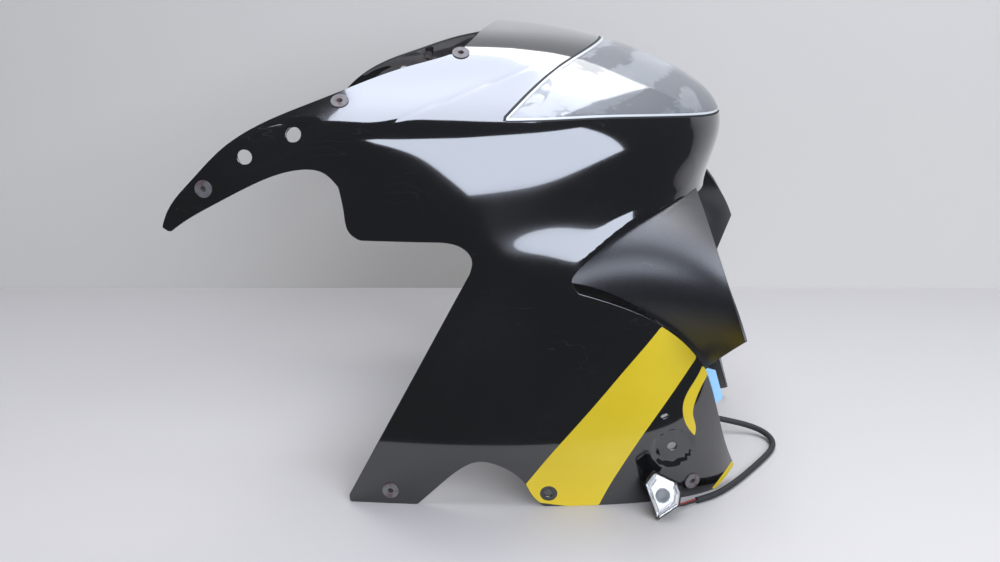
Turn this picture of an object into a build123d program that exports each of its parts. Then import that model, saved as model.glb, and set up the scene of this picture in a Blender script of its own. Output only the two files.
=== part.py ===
"""Upper front fairing of a small sports motorcycle, standing on its two side panels.

The frame: +X is forward, -Y is the rider's right, +Z is up and Z = 0 is the table that the
lower edges stand on. X = 0 is halfway between the tip of the arms and the front of the side
panels. All sizes are millimetres.

One thin moulding is the nose, both cheeks, both side panels and both windscreen arms. Its
outer skin is a smooth surface: for each height a table gives the nose's reach, the half
width at the back and how full and how blunt the plan is. Everything that follows the skin
(lens, gasket, headlamp tub, decals) is cut from the same surface at another depth.
"""

import os

import numpy as np
from build123d import *

# Overall sizes
REAR_X = -281.0  # where the skin's rows end, behind the arms' tips
SHELL_WALL = 3.0  # of the moulding and of the lens
GASKET_GAP = 2.8
LENS_LAND = 3.0  # how far the tub's rim reaches in behind the lens
TUB_WALL = 2.5
PANEL_WALL = 2.5
DECAL_THICKNESS = 0.3

# The skin: height, reach of the nose, half width at the back, fullness, bluntness
SKIN_TABLE = np.array([
    (0, 269, 201, 1.95, 4.2),
    (125, 251, 205, 1.9, 6.3),
    (200, 234, 207, 2.6, 5.0),
    (240, 214, 208, 3.2, 3.9),
    (265, 204, 209, 3.1, 3.1),
    (285, 209, 210, 3.1, 2.6),
    (305, 222, 210, 3.1, 2.2),
    (322, 230, 209, 3.0, 1.9),
    (338, 234, 208, 3.0, 1.65),
    (350, 231, 206, 3.0, 1.6),
    (362, 218, 194, 2.9, 1.7),
    (375, 196, 174, 2.7, 1.8),
    (388, 169, 156, 2.6, 1.9),
    (398, 144, 139, 3.0, 2.0),
    (407, 111, 120, 4.2, 2.1),
    (413, 81, 101, 6.5, 2.2),
    (417, 44, 85, 9.0, 2.3),
    (419, 4, 72, 11.0, 2.4),
    (420, -21, 62, 12.0, 2.5),
], float)
SKIN_BASE_Z = -12.0
SKIN_REAR_TOP_Z = 318.0  # the top row falls to this height at REAR_X
SKIN_ROWS, SKIN_COLUMNS = 20, 18

# Side view of the moulding (X, Z)
WINDSCREEN_EDGE = [(0, 416), (-6, 409), (-24, 401), (-56, 393), (-86, 383), (-118, 371),
                   (-154, 357), (-194, 333), (-224, 304), (-249, 274)]
ARM_TIP = (-254, 262)
ARM_TIP_UNDER = (-248, 258)
ARM_UNDERSIDE = [(-240, 264), (-201, 287), (-164, 306), (-129, 317), (-108, 315), (-95, 303)]
ARM_CORNER = [(-91, 280), (-87, 263), (-79, 257)]
WAIST = [(-9, 256.5), (8, 252), (17, 241), (15, 228)]
REAR_FOOT = [(-101, 6), (-100, 0)]
ARCH = [(-38, 0), (-18, 20), (4, 40), (19, 47), (34, 45), (48, 38), (62, 24), (68, 12), (80, 0)]
FRONT_FOOT = (236, 0)
FRONT_EDGE = [(253, 15), (242, 49), (231, 92), (219, 131)]
INTAKE_LOWER_EDGE = [(219, 131), (204, 153), (181, 175), (159, 189), (125, 204), (107, 210)]
INTAKE_TIP = [(107, 210), (100, 221), (106, 232)]
INTAKE_UPPER_EDGE = [(106, 232), (135, 256), (163, 270), (189, 279)]
CHIN_EDGE = [(189, 279), (240, 266)]

# Side view of the headlamp lens (X, Z)
LENS_LOWER_EDGE = [(41, 355.5), (85, 355), (118, 354.5), (151, 352.5), (185, 349), (217, 344),
                   (240, 340)]
LENS_REAR_EDGE = [(112, 409), (101, 404), (78, 391.5), (53, 370), (41, 357.5)]

# Intake panels: corners of the right-hand one, tucked under the moulding's edges
INTAKE_CORNER_TIP = np.array([93.0, -179.5, 220.0])
INTAKE_CORNER_CHIN = np.array([200.0, -50.5, 285.0])
INTAKE_CORNER_FOOT = np.array([219.5, -127.5, 127.5])
INTAKE_CORNER_FRONT = np.array([247.5, -204.7, 184.7])
INTAKE_BULGE_UPPER = np.array([0.0, -15.5, 16.0])
INTAKE_BULGE_LOWER = np.array([0.0, -9.0, 21.5])
INTAKE_BULGE_MOUTH = np.array([2.0, -27.0, 4.0])

# Fixing points in side view (X, Z)
WINDSCREEN_NUTS = [(-100, 370), (-8, 404)]
STAY_EYELETS = [(-213, 298)]
PANEL_EYELETS = [(-62, 14), (213, 17)]
PANEL_HOLE = (83, 14)
MIRROR_HOLES = [(-176, 326), (-134, 346)]
MIRROR_HOLE_R = 7.0
MIRROR_DISH = dict(centre=(-155, 335), half_length=41, half_width=14, angle=25)
INDICATOR_SEAT = (194, 57)
INDICATOR_SEAT_R = 19.0
INDICATOR_HOLE_R = 5.0
LOCATING_HOLE = (185, 91)
NUT_BARREL_R = 4.6
NUT_BORE_R = 2.6
NUT_FLANGE_R = 7.6
NUT_FLANGE = 1.2
NUT_LENGTH = 10.0

# Stripe decals in side view (X, Z); their ends run past the edges that trim them
BAND_REAR = [(50, 8), (63, 25), (80, 49), (102, 78), (128, 112), (153, 145), (169, 165), (182, 182)]
BAND_FRONT = [(214, 149), (209, 142), (194, 119), (179, 95), (164, 70), (147, 39), (135, 15), (127, -4)]
FLAME_REAR = [(217, 139), (214, 130), (206, 116), (201, 103), (201, 92), (205, 79), (213, 66)]
FLAME_FRONT = [(213, 66), (213, 77), (210, 89), (211, 101), (215, 113), (220, 123), (226, 132)]
CORNER_STRIP = [(229, -2), (250, 21), (260, 21), (260, -2)]

# Headlamp
LAMP_AXIS_Z = 361.0
TUB_BACK_X = 36.0
TUB_LENGTH = 205.0
TUB_HALF_WIDTH = 150.0
TUB_FLOOR_Z = 322.0
BEZEL_WALL = 2.0
REFLECTOR_VERTEX = 11.0  # from the tub's back face
REFLECTOR_FOCUS = 13.0
REFLECTOR_LENGTH = 52.0
REFLECTOR_WALL = 2.0
BULB_BASE_R = 9.0
BULB_GLASS_R = 6.5

# Loose indicator: its place, and the outline of its lens
INDICATOR_CENTRE = (186.5, -177.0, 21.7)
INDICATOR_RIGHT = (0.994, 0.107, 0)
INDICATOR_FACING = (0.102, -0.946, 0.305)
INDICATOR_OUTLINE = [(-8.5, 22.5), (-16.5, 11.5), (-4, -22.5), (15.5, -8.5), (17, 3), (13, 13)]
INDICATOR_DEPTH = 11.0
INDICATOR_LENS_DEPTH = 6.5
INDICATOR_RING_R = 8.5
INDICATOR_STEM_R = 4.2
GLAND_END = (196.2, -169.1, 7.7)
GLAND_PULL = (0.75, 0.6, -0.25)
GLAND_R = 2.9

# Cords: points of each route
SLEEVE_DIAMETER = 6.0
WIRE_DIAMETER = 1.9
SLEEVE_ROUTE = [(218, -147.5, 3), (229, -140, 3), (241, -127, 3), (254, -108, 3), (267, -85, 3),
                (279, -62, 3), (290, -40, 3.2), (296, -22, 3.8), (294, -6, 5), (284, 6, 7),
                (268, 11, 9.8), (247, 10.5, 13.6), (226, 5, 19), (209, -9, 27), (200, -30, 35),
                (199, -54, 41), (203, -77, 45), (213, -95, 48.5), (225, -107, 57),
                (231.9, -118.8, 74.8), (226.5, -121.5, 92.8)]
RED_WIRE_ROUTE = [(195.4, -168.1, 7.7), (203.65, -161.5, 4.95), (210.65, -150.9, 3), (217.25, -146.4, 3)]
BLACK_WIRE_ROUTE = [(197.0, -170.1, 7.7), (205.25, -163.5, 4.95), (212.15, -153.1, 3), (218.75, -148.6, 3)]

# Connector on the far end of the sleeve
CONNECTOR_SIZE = (12.0, 10.6, 30.0)
CONNECTOR_ACROSS = (0.695, 0.717, 0)
CONNECTOR_OFFSET = (3.0, -2.1)

os.makedirs("parts", exist_ok=True)


def smooth_table(heights, values, z):
    """Monotone cubic through the table's points, so that no row overshoots."""
    step = np.diff(heights)
    rise = np.diff(values) / step
    slope = np.concatenate([[rise[0]], np.zeros(len(rise) - 1), [rise[-1]]])
    turning = rise[:-1] * rise[1:] > 0
    near = (2 * step[1:] + step[:-1])[turning]
    far = (step[1:] + 2 * step[:-1])[turning]
    inner = slope[1:-1]
    inner[turning] = (near + far) / (near / rise[:-1][turning] + far / rise[1:][turning])
    i = np.clip(np.searchsorted(heights, z) - 1, 0, len(step) - 1)
    s = z - heights[i]
    quad = (3 * rise[i] - 2 * slope[i] - slope[i + 1]) / step[i]
    cube = (slope[i] + slope[i + 1] - 2 * rise[i]) / step[i] ** 2
    return values[i] + s * (slope[i] + s * (quad + s * cube))


def plan_law(z):
    """Nose reach, back half width, fullness and bluntness at the heights z."""
    z = np.clip(z, 0, SKIN_TABLE[-1, 0])
    return [smooth_table(SKIN_TABLE[:, 0], SKIN_TABLE[:, k], z) for k in range(1, 5)]


def half_width(x, z):
    """Half width of the skin, a superellipse in plan whose exponents change with height."""
    reach, width, fullness, bluntness = plan_law(z)
    back = np.clip((reach - x) / (reach - REAR_X), 0, 1)
    return width * (1 - (1 - back) ** fullness) ** (1 / bluntness)


def skin_row(front_z, rear_z):
    """Evenly spaced points from the nose to the back, on a plane that falls to the rear."""
    reach = float(plan_law(front_z)[0])
    t = np.linspace(0, 1, 2500) ** 3
    x = reach + (REAR_X - reach) * t
    z = front_z + (rear_z - front_z) * t
    y = half_width(x, z)
    y[0] = 0
    run = np.concatenate([[0], np.cumsum(np.sqrt(np.diff(x) ** 2 + np.diff(y) ** 2 + np.diff(z) ** 2))])
    even = np.linspace(0, run[-1], SKIN_COLUMNS)
    return np.stack([np.interp(even, run, x), -np.interp(even, run, y), np.interp(even, run, z)], -1)


def skin_grid(depth):
    """Right-hand half of the skin as a grid of points, pushed inwards by depth."""
    z = np.linspace(SKIN_BASE_Z, SKIN_TABLE[-1, 0], 4000)
    reach = plan_law(z)[0]
    run = np.concatenate([[0], np.cumsum(np.hypot(np.diff(z), np.diff(reach)))])
    share = np.linspace(0, 1, SKIN_ROWS)
    fronts = np.interp(share * run[-1], run, z)
    rears = SKIN_BASE_Z + (SKIN_REAR_TOP_Z - SKIN_BASE_Z) * share
    grid = np.array([skin_row(a, b) for a, b in zip(fronts, rears)])
    mirrored = grid[:, 1:2] * (1, -1, 1)
    grid = np.concatenate([mirrored, grid], 1)
    grid[1:-1] = (grid[:-2] + 2 * grid[1:-1] + grid[2:]) / 4
    grid[:, 1:-1] = (grid[:, :-2] + 2 * grid[:, 1:-1] + grid[:, 2:]) / 4
    normal = np.cross(np.gradient(grid, axis=0), np.gradient(grid, axis=1))
    normal /= np.linalg.norm(normal, axis=-1)[..., None]
    grid = (grid - depth * normal)[:, 1:]
    grid[:, 0, 1] = 0
    return grid


def spline_face(grid):
    """A smooth face through a grid of points."""
    points = [[Vector(*p) for p in row] for row in grid]
    return Face.make_surface_from_array_of_points(points, tol=0.03, min_deg=3, max_deg=3)


def hull(depth):
    """The whole body's volume inside the skin at the given depth, left and right."""
    right = spline_face(skin_grid(depth))
    edges = right.edges()
    back = min(edges, key=lambda e: e.center().X)
    top = max(edges, key=lambda e: e.center().Z)
    bottom = min(edges, key=lambda e: e.center().Z)
    caps = [Face.make_surface_from_curves(e, e.mirror(Plane.XZ)) for e in (back, top, bottom)]
    return Part() + Solid(Shell([right, right.mirror(Plane.XZ), *caps]))


def smooth(*points):
    """A smooth line through points of the side view."""
    return Spline(*points)


def solid(shape):
    """The shape as one compound of its solids."""
    return Compound(children=list(shape.solids()))


def both_sides(shape):
    """The shape and its mirror image, as separate solids."""
    return Compound(children=[*shape.solids(), *mirror(shape, about=Plane.XZ).solids()])


# The skins
skin_face = spline_face(skin_grid(0))
outer = hull(0)
inner = hull(SHELL_WALL)
deep = hull(SHELL_WALL + TUB_WALL)


def seat_plane(point):
    """Plane on the right-hand skin at a side-view point, facing out."""
    x, z = point
    hit, normal = skin_face.find_intersection_points(Axis((x, -400, z), (0, 1, 0)))[0]
    if normal.Y > 0:
        normal = -normal
    return Plane(origin=hit, z_dir=normal)


def moulding_outline():
    """The moulding in side view, before the lens opening is cut."""
    edge = smooth(*WINDSCREEN_EDGE, ARM_TIP)
    tip = Line(ARM_TIP, ARM_TIP_UNDER)
    under = smooth(ARM_TIP_UNDER, *ARM_UNDERSIDE)
    corner = smooth(ARM_UNDERSIDE[-1], *ARM_CORNER)
    waist = smooth(*WAIST)
    arch = smooth(*ARCH)
    front = smooth(*FRONT_EDGE)
    intake = [smooth(*INTAKE_LOWER_EDGE), smooth(*INTAKE_TIP), smooth(*INTAKE_UPPER_EDGE)]
    roof = Polyline(*CHIN_EDGE, (300, 266), (300, 440), (0, 440), WINDSCREEN_EDGE[0])
    straight = [
        Line(ARM_CORNER[-1], WAIST[0]),
        Polyline(WAIST[-1], *REAR_FOOT, ARCH[0]),
        Polyline(ARCH[-1], FRONT_FOOT, FRONT_EDGE[0]),
    ]
    return [edge, tip, under, corner, waist, arch, front, *intake, roof, *straight]


def lens_outline(grow=0.0):
    """The lens in side view, open towards the nose and the crown, grown on its two seams."""
    lower = [(x - grow, z - 0.5 * grow) for x, z in LENS_LOWER_EDGE]
    rear = [(x - grow, z + 0.3 * grow) for x, z in LENS_REAR_EDGE]
    return [
        smooth(*lower),
        Polyline(lower[-1], (300, 336), (300, 440), (rear[0][0], 440), rear[0]),
        smooth(*rear),
        Line(rear[-1], lower[0]),
    ]


def outline_face(curves):
    """A side-view face bounded by the curves."""
    return make_face(Curve() + curves)


def face_prism(face):
    """A side-view face carried across the whole width."""
    return extrude(Plane.XZ * face, 300, both=True)


moulding_prism = face_prism(outline_face(moulding_outline()))
lens_prism = face_prism(outline_face(lens_outline()))
opening_prism = face_prism(outline_face(lens_outline(GASKET_GAP)))
window_prism = face_prism(outline_face(lens_outline(-LENS_LAND)))


def oval(centre, half_length, half_width, angle):
    """A slanted ellipse of the side view."""
    return Pos(*centre) * Rot(0, 0, angle) * Ellipse(half_length, half_width)


def make_cowl_shell():
    """The moulding: skin wall, dishes for the mirrors and the indicators, holes."""
    body = (outer & moulding_prism) - inner - opening_prism
    dish_depth = SHELL_WALL
    floor_skin = hull(dish_depth - 0.6) - hull(dish_depth + 2.4)
    mirror_dish = oval(**MIRROR_DISH)
    wide = dict(MIRROR_DISH, half_length=MIRROR_DISH["half_length"] + 4,
                half_width=MIRROR_DISH["half_width"] + 4)
    seat = Pos(*INDICATOR_SEAT) * Circle(INDICATOR_SEAT_R)
    seat_wide = Pos(*INDICATOR_SEAT) * Circle(INDICATOR_SEAT_R + 4)
    for hollow, backing in ((mirror_dish, oval(**wide)), (seat, seat_wide)):
        body = body - face_prism(hollow) + (floor_skin & face_prism(backing))
    nut_points = WINDSCREEN_NUTS + STAY_EYELETS + PANEL_EYELETS + [PANEL_HOLE]
    drills = [(point, NUT_BARREL_R) for point in nut_points]
    drills += [(point, MIRROR_HOLE_R) for point in MIRROR_HOLES]
    for point, radius in drills:
        drill = seat_plane(point) * Cylinder(radius, 30)
        body = body - drill - mirror(drill, about=Plane.XZ)
    holes = Sketch() + Pos(*INDICATOR_SEAT) * Circle(INDICATOR_HOLE_R)
    holes += oval(LOCATING_HOLE, 5, 3, 30)
    return body - face_prism(holes)


def make_well_nut():
    """Flanged rubber nut on Z, its flange on the plane and its barrel below."""
    half = Polyline((NUT_BORE_R, NUT_FLANGE), (NUT_FLANGE_R, NUT_FLANGE), (NUT_FLANGE_R, -0.4),
                    (NUT_BARREL_R, -0.4), (NUT_BARREL_R, -NUT_LENGTH),
                    (NUT_BORE_R, -NUT_LENGTH), close=True)
    return revolve(make_face(Plane.XZ * half), Axis.Z)


def seat_nuts(points):
    """Well nuts seated in the right-hand and left-hand holes."""
    nuts = Compound(children=[s for p in points for s in (seat_plane(p) * make_well_nut()).solids()])
    return both_sides(nuts - cowl_shell)


def intake_edge(start, end, bulge, t):
    """A bowed edge from one corner to another."""
    t = t[:, None]
    return start + (end - start) * t + bulge * 4 * t * (1 - t)


def make_intake_panel():
    """Right-hand intake: a bowed four-sided panel between its corners, tucked under the cowl."""
    u = np.linspace(0, 1, 9)
    tip, chin = INTAKE_CORNER_TIP, INTAKE_CORNER_CHIN
    foot, front = INTAKE_CORNER_FOOT, INTAKE_CORNER_FRONT
    upper = intake_edge(tip, chin, INTAKE_BULGE_UPPER, u)[:, None]
    lip = intake_edge(foot, front, 0 * foot, u)[:, None]
    lower = intake_edge(tip, foot, INTAKE_BULGE_LOWER, u)[None]
    mouth = intake_edge(chin, front, INTAKE_BULGE_MOUTH, u)[None]
    a, b = u[:, None, None], u[None, :, None]
    corners = tip * (1 - a) * (1 - b) + chin * a * (1 - b) + foot * (1 - a) * b + front * a * b
    grid = upper * (1 - b) + lip * b + lower * (1 - a) + mouth * a - corners
    normal = np.cross(np.gradient(grid, axis=0), np.gradient(grid, axis=1))
    normal /= np.linalg.norm(normal, axis=-1)[..., None]
    faces = [spline_face(grid), spline_face(grid + PANEL_WALL * normal)]
    sides = [Face.make_surface_from_curves(p, q) for p, q in zip(faces[0].edges(), faces[1].edges())]
    return Part() + Solid(Shell(faces + sides)) - cowl_shell


def box_ahead(x, z, half_width, ahead=0.0):
    """A box that starts at x and z and runs forward and up, over the lamp's length."""
    box = Box(TUB_LENGTH, 2 * half_width, 120, align=(Align.MIN, Align.CENTER, Align.MIN))
    return Pos(x + ahead, 0, z + ahead) * box


def on_lamp_axis(profile):
    """A half profile (distance ahead of the tub's back, radius) turned about the lamp's axis."""
    half = make_face(Plane.XZ * Polyline(*profile, close=True))
    return Pos(TUB_BACK_X, 0, LAMP_AXIS_Z) * revolve(half, Axis.X)


def make_tub():
    """Headlamp tub under the nose, open towards the lens, and the room inside it."""
    room = deep & box_ahead(TUB_BACK_X, TUB_FLOOR_Z, TUB_HALF_WIDTH - TUB_WALL, TUB_WALL)
    tub = (inner & box_ahead(TUB_BACK_X, TUB_FLOOR_Z, TUB_HALF_WIDTH)) - room
    rim_opening = window_prism & box_ahead(TUB_BACK_X, TUB_FLOOR_Z, TUB_HALF_WIDTH, TUB_WALL)
    bore = Pos(TUB_BACK_X, 0, LAMP_AXIS_Z) * Rot(0, 90, 0) * Cylinder(BULB_BASE_R, 20)
    return tub - rim_opening - bore, room


def bowl_curve(wall):
    """Half profile of the reflector's bowl, a parabola from its neck to its rim."""
    radii = np.linspace(BULB_BASE_R, (4 * REFLECTOR_FOCUS * REFLECTOR_LENGTH) ** 0.5, 12)
    along = REFLECTOR_VERTEX + radii ** 2 / (4 * REFLECTOR_FOCUS)
    return [(float(x), float(r) + wall) for x, r in zip(along, radii)]


def make_reflector():
    """The bowl with its neck on the bezel's back plate, cut where the bezel and tub close in."""
    neck = TUB_WALL + BEZEL_WALL
    inside = [(neck, BULB_BASE_R), *bowl_curve(0)]
    outside = [*bowl_curve(REFLECTOR_WALL)[::-1], (neck, BULB_BASE_R + REFLECTOR_WALL)]
    return (on_lamp_axis(inside + outside) & lamp_room) - bezel


def make_bezel():
    """Bright floor and back plate inside the tub, with a bore for the bulb."""
    x, z = TUB_BACK_X + TUB_WALL, TUB_FLOOR_Z + TUB_WALL
    liner = lamp_room - box_ahead(x, z, TUB_HALF_WIDTH, BEZEL_WALL)
    return liner - Pos(TUB_BACK_X, 0, LAMP_AXIS_Z) * Rot(0, 90, 0) * Cylinder(BULB_BASE_R, 30)


def make_bulb():
    """Headlamp bulb: a metal base in the bores and a glass with a domed end."""
    dome = [(40 + BULB_GLASS_R * np.sin(a), BULB_GLASS_R * np.cos(a)) for a in np.linspace(0, 1.4, 6)]
    base = [(-10, 0), (-10, BULB_BASE_R), (14, BULB_BASE_R), (14, BULB_GLASS_R)]
    return on_lamp_axis([*base, *((float(x), float(r)) for x, r in dome), (46.5, 0)])


def make_bulb_boot():
    """Rubber boot over the back of the bulb, lying on the tub's back wall."""
    return on_lamp_axis([(0, BULB_BASE_R), (-10, BULB_BASE_R), (-10, 0), (-15, 0), (-15, 11), (-12, 14),
                         (-5, 15), (-3, 20), (0, 20)])


def stripe(*edges):
    """A decal's side-view face, bounded by smooth edges joined by straight ones."""
    ends = [Line(edges[i - 1][-1], edges[i][0]) for i in range(len(edges))
            if edges[i - 1][-1] != edges[i][0]]
    return outline_face([*(smooth(*edge) for edge in edges), *ends])


def make_decals():
    """Right-hand stripes: a thin layer on the skin, trimmed by the moulding's edges and holes."""
    faces = [stripe(BAND_REAR, BAND_FRONT), stripe(FLAME_REAR, FLAME_FRONT),
             make_face(Polyline(*CORNER_STRIP, close=True))]
    layer = ((hull(-DECAL_THICKNESS) & moulding_prism) - outer) & (Pos(0, -250, 200) * Box(700, 500, 500))
    for point in (PANEL_HOLE, PANEL_EYELETS[1]):
        layer -= seat_plane(point) * Cylinder(NUT_FLANGE_R + 0.4, 30)
    return Compound(children=[s for f in faces for s in (layer & face_prism(f)).solids()])


def scaled_outline(scale, depth):
    """The indicator's outline at another size, in a plane at the given depth."""
    return Pos(0, 0, depth) * make_face(Polyline(*[(x * scale, y * scale) for x, y in INDICATOR_OUTLINE],
                                                 close=True))


def facet_block(*sections):
    """A faceted solid through (scale, depth) sections of the indicator's outline."""
    return loft([scaled_outline(scale, depth) for scale, depth in sections], ruled=True)


def make_indicator():
    """Housing, lens, reflector, bulb and stem of the indicator in its own plane, then placed."""
    depth, face = INDICATOR_DEPTH, INDICATOR_LENS_DEPTH
    pocket = facet_block((0.62, 3 - depth), (0.86, 0))
    housing = facet_block((0.72, -depth), (0.98, -2), (0.98, 0)) - pocket
    lens = facet_block((1, 0), (1, 2), (0.8, face)) - facet_block((0.86, 0), (0.64, face - 2.5))
    dish = Pos(0, 0, -3) * Cone(3.5, INDICATOR_RING_R - 1.6, 10)
    ring = facet_block((0.8, -1.2), (0.84, 0)) + Pos(0, 0, 0.8) * Cylinder(INDICATOR_RING_R, 1.6)
    reflector = ring - dish
    bulb = Pos(0, 0, -5) * Cylinder(3.2, 6) + Pos(0, 0, -2) * Sphere(3.2)
    stem = Pos(-4, 2, -depth - 12) * Cylinder(INDICATOR_STEM_R, 24)
    place = Plane(origin=INDICATOR_CENTRE, x_dir=INDICATOR_RIGHT, z_dir=INDICATOR_FACING)
    pieces = [place * piece for piece in (housing, lens, reflector, bulb, stem)]
    gland = Plane(origin=GLAND_END, z_dir=GLAND_PULL) * Pos(0, 0, -5) * Cylinder(GLAND_R, 10)
    pieces[0] += gland - place * pocket
    pieces[0] -= outer
    pieces[4] = pieces[4] - outer - pieces[0]
    return pieces


def cord(route, diameter):
    """A round cord along straight runs joined by tangent arcs."""
    points = np.array(route, float)
    runs = np.diff(points, axis=0)
    length = np.linalg.norm(runs, axis=1)
    ahead = runs / length[:, None]
    half_turn = np.arccos(np.clip((ahead[1:] * ahead[:-1]).sum(1), -1, 1)) / 2
    radii = 0.45 * np.minimum(length[1:], length[:-1]) / np.tan(half_turn)
    print("bend radii", radii.round(1))
    path = FilletPolyline(*[tuple(p) for p in points], radius=radii.tolist())
    start = Plane(origin=tuple(points[0]), z_dir=tuple(ahead[0]))
    tube = sweep(start * Circle(diameter / 2), path=path)
    print("length", round(path.length, 1), "volume / (section x length)",
          round(tube.volume / (np.pi * diameter ** 2 / 4 * path.length), 4))
    return tube


def make_connector():
    """Plug housing with a latch, its lower end on the sleeve's end and its side on the wall."""
    end = Vector(*SLEEVE_ROUTE[-1])
    place = Plane(origin=end, x_dir=CONNECTOR_ACROSS, z_dir=end - Vector(*SLEEVE_ROUTE[-2]))
    block = Pos(*CONNECTOR_OFFSET) * Box(*CONNECTOR_SIZE, align=(Align.CENTER, Align.CENTER, Align.MIN))
    block = fillet(block.edges().filter_by(Axis.Z), 1)
    latch = Pos(CONNECTOR_OFFSET[0], 4, 9) * Box(5, 2, 14)
    return place * (block + latch) - cowl_shell


cowl_shell = make_cowl_shell()
headlight_housing, lamp_room = make_tub()
bezel = make_bezel()
reflector = make_reflector()
right_intake = make_intake_panel()
right_decals = make_decals()
housing, indicator_lens, ring, indicator_bulb, stem = make_indicator()
nodes = {
    "cowl_shell": cowl_shell,
    "headlight_lens": (outer & lens_prism) - inner,
    "lens_gasket": ((outer & opening_prism) - inner) - lens_prism,
    "headlight_housing": headlight_housing,
    "headlight_bezel": bezel,
    "headlight_reflector": reflector,
    "headlight_bulb": make_bulb(),
    "bulb_boot": make_bulb_boot(),
    "windscreen_well_nuts": seat_nuts(WINDSCREEN_NUTS),
    "stay_eyelets": seat_nuts(STAY_EYELETS),
    "panel_eyelets": seat_nuts(PANEL_EYELETS),
    "right_intake_panel": right_intake,
    "left_intake_panel": mirror(right_intake, about=Plane.XZ),
    "right_stripe_decals": right_decals,
    "left_stripe_decals": mirror(right_decals, about=Plane.XZ),
    "indicator_housing": housing,
    "indicator_lens": indicator_lens,
    "indicator_reflector": ring - housing,
    "indicator_bulb": indicator_bulb - housing,
    "indicator_stem": stem,
    "indicator_wire_red": cord(RED_WIRE_ROUTE, WIRE_DIAMETER),
    "indicator_wire_black": cord(BLACK_WIRE_ROUTE, WIRE_DIAMETER),
    "indicator_sleeve": cord(SLEEVE_ROUTE, SLEEVE_DIAMETER),
    "indicator_connector": make_connector(),
}

for name, shape in nodes.items():
    part = solid(shape)
    part.label = name
    export_step(part, f"parts/{name}.step")
    print(name, len(part.solids()), round(part.volume))
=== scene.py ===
"""Dresses the upper fairing of a small sports motorcycle and lights it for a studio picture.

The frame is the model's own: metres, +X forward, -Y the rider's right, +Z up, and the lower
edges of the side panels stand on Z = 0. The moulding's skin is worked out in millimetres from
the same driving sizes as the solids and turned into metres when a mesh is made.
"""

import logging
from dataclasses import dataclass
from enum import Enum
from typing import Callable, Optional, Sequence

import bpy
import numpy as np
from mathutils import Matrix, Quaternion, Vector


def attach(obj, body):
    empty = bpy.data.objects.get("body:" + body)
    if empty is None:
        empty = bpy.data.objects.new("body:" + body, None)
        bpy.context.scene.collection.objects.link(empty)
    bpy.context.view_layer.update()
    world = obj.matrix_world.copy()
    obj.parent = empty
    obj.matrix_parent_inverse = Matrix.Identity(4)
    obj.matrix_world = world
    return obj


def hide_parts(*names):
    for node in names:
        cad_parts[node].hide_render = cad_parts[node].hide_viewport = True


LOG = logging.getLogger("fairing")

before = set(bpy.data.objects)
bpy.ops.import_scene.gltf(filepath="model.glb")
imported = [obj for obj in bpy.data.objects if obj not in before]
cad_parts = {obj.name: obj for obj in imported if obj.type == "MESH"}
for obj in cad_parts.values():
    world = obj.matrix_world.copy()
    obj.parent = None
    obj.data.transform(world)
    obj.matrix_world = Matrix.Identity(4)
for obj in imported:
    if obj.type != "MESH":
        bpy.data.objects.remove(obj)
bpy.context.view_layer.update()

MM = 0.001
HAZE_ROUGHNESS = 0.14  # what full haze adds to a finish's roughness
SCRATCH_ROUGHNESS = 0.35  # what a full scratch adds
SCRATCH_DEPTH = 0.4  # against a grain height of 1
BUMP_DISTANCE = 0.0004
Points = Sequence[tuple[float, float]]
Array = np.ndarray


# Finishes and their shared node groups


class Coating(Enum):
    """What a finish is made of, which chooses how its shader is set."""

    LACQUER = "lacquer"
    MOULDED = "moulded"
    RUBBER = "rubber"
    CLEAR = "clear"
    METALLISED = "metallised"
    FILM = "film"


class NodeTree:
    """A thin helper for adding and joining shader nodes."""

    def __init__(self, tree: bpy.types.NodeTree) -> None:
        """Keeps the tree that the nodes go into."""
        self.tree = tree

    def add(self, kind: str, **settings: object) -> bpy.types.Node:
        """Adds a node and sets its properties and unlinked inputs.

        Args:
            kind: The node's type name.
            settings: Properties of the node, or inputs by name with blanks as underscores.

        Returns:
            The new node.
        """
        node = self.tree.nodes.new(kind)
        for name, value in settings.items():
            socket = name.replace("_", " ")
            if hasattr(node, name):
                setattr(node, name, value)
            else:
                node.inputs[socket].default_value = value
        return node

    def join(self, source: bpy.types.NodeSocket, target: bpy.types.NodeSocket) -> None:
        """Links an output socket to an input socket."""
        self.tree.links.new(source, target)


def new_group(name: str, inputs: dict[str, float], outputs: Sequence[str]) -> bpy.types.NodeTree:
    """Makes an empty shader group with float inputs and outputs and a vector input.

    Args:
        name: The group's name.
        inputs: Float inputs and their default values.
        outputs: Float outputs.

    Returns:
        The group, with its input and output nodes named "in" and "out".
    """
    group = bpy.data.node_groups.new(name, "ShaderNodeTree")
    group.interface.new_socket("Place", in_out="INPUT", socket_type="NodeSocketVector")
    for label, value in inputs.items():
        socket = group.interface.new_socket(label, in_out="INPUT", socket_type="NodeSocketFloat")
        socket.default_value = value
    for label in outputs:
        group.interface.new_socket(label, in_out="OUTPUT", socket_type="NodeSocketFloat")
    group.nodes.new("NodeGroupInput").name = "in"
    group.nodes.new("NodeGroupOutput").name = "out"
    return group


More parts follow.
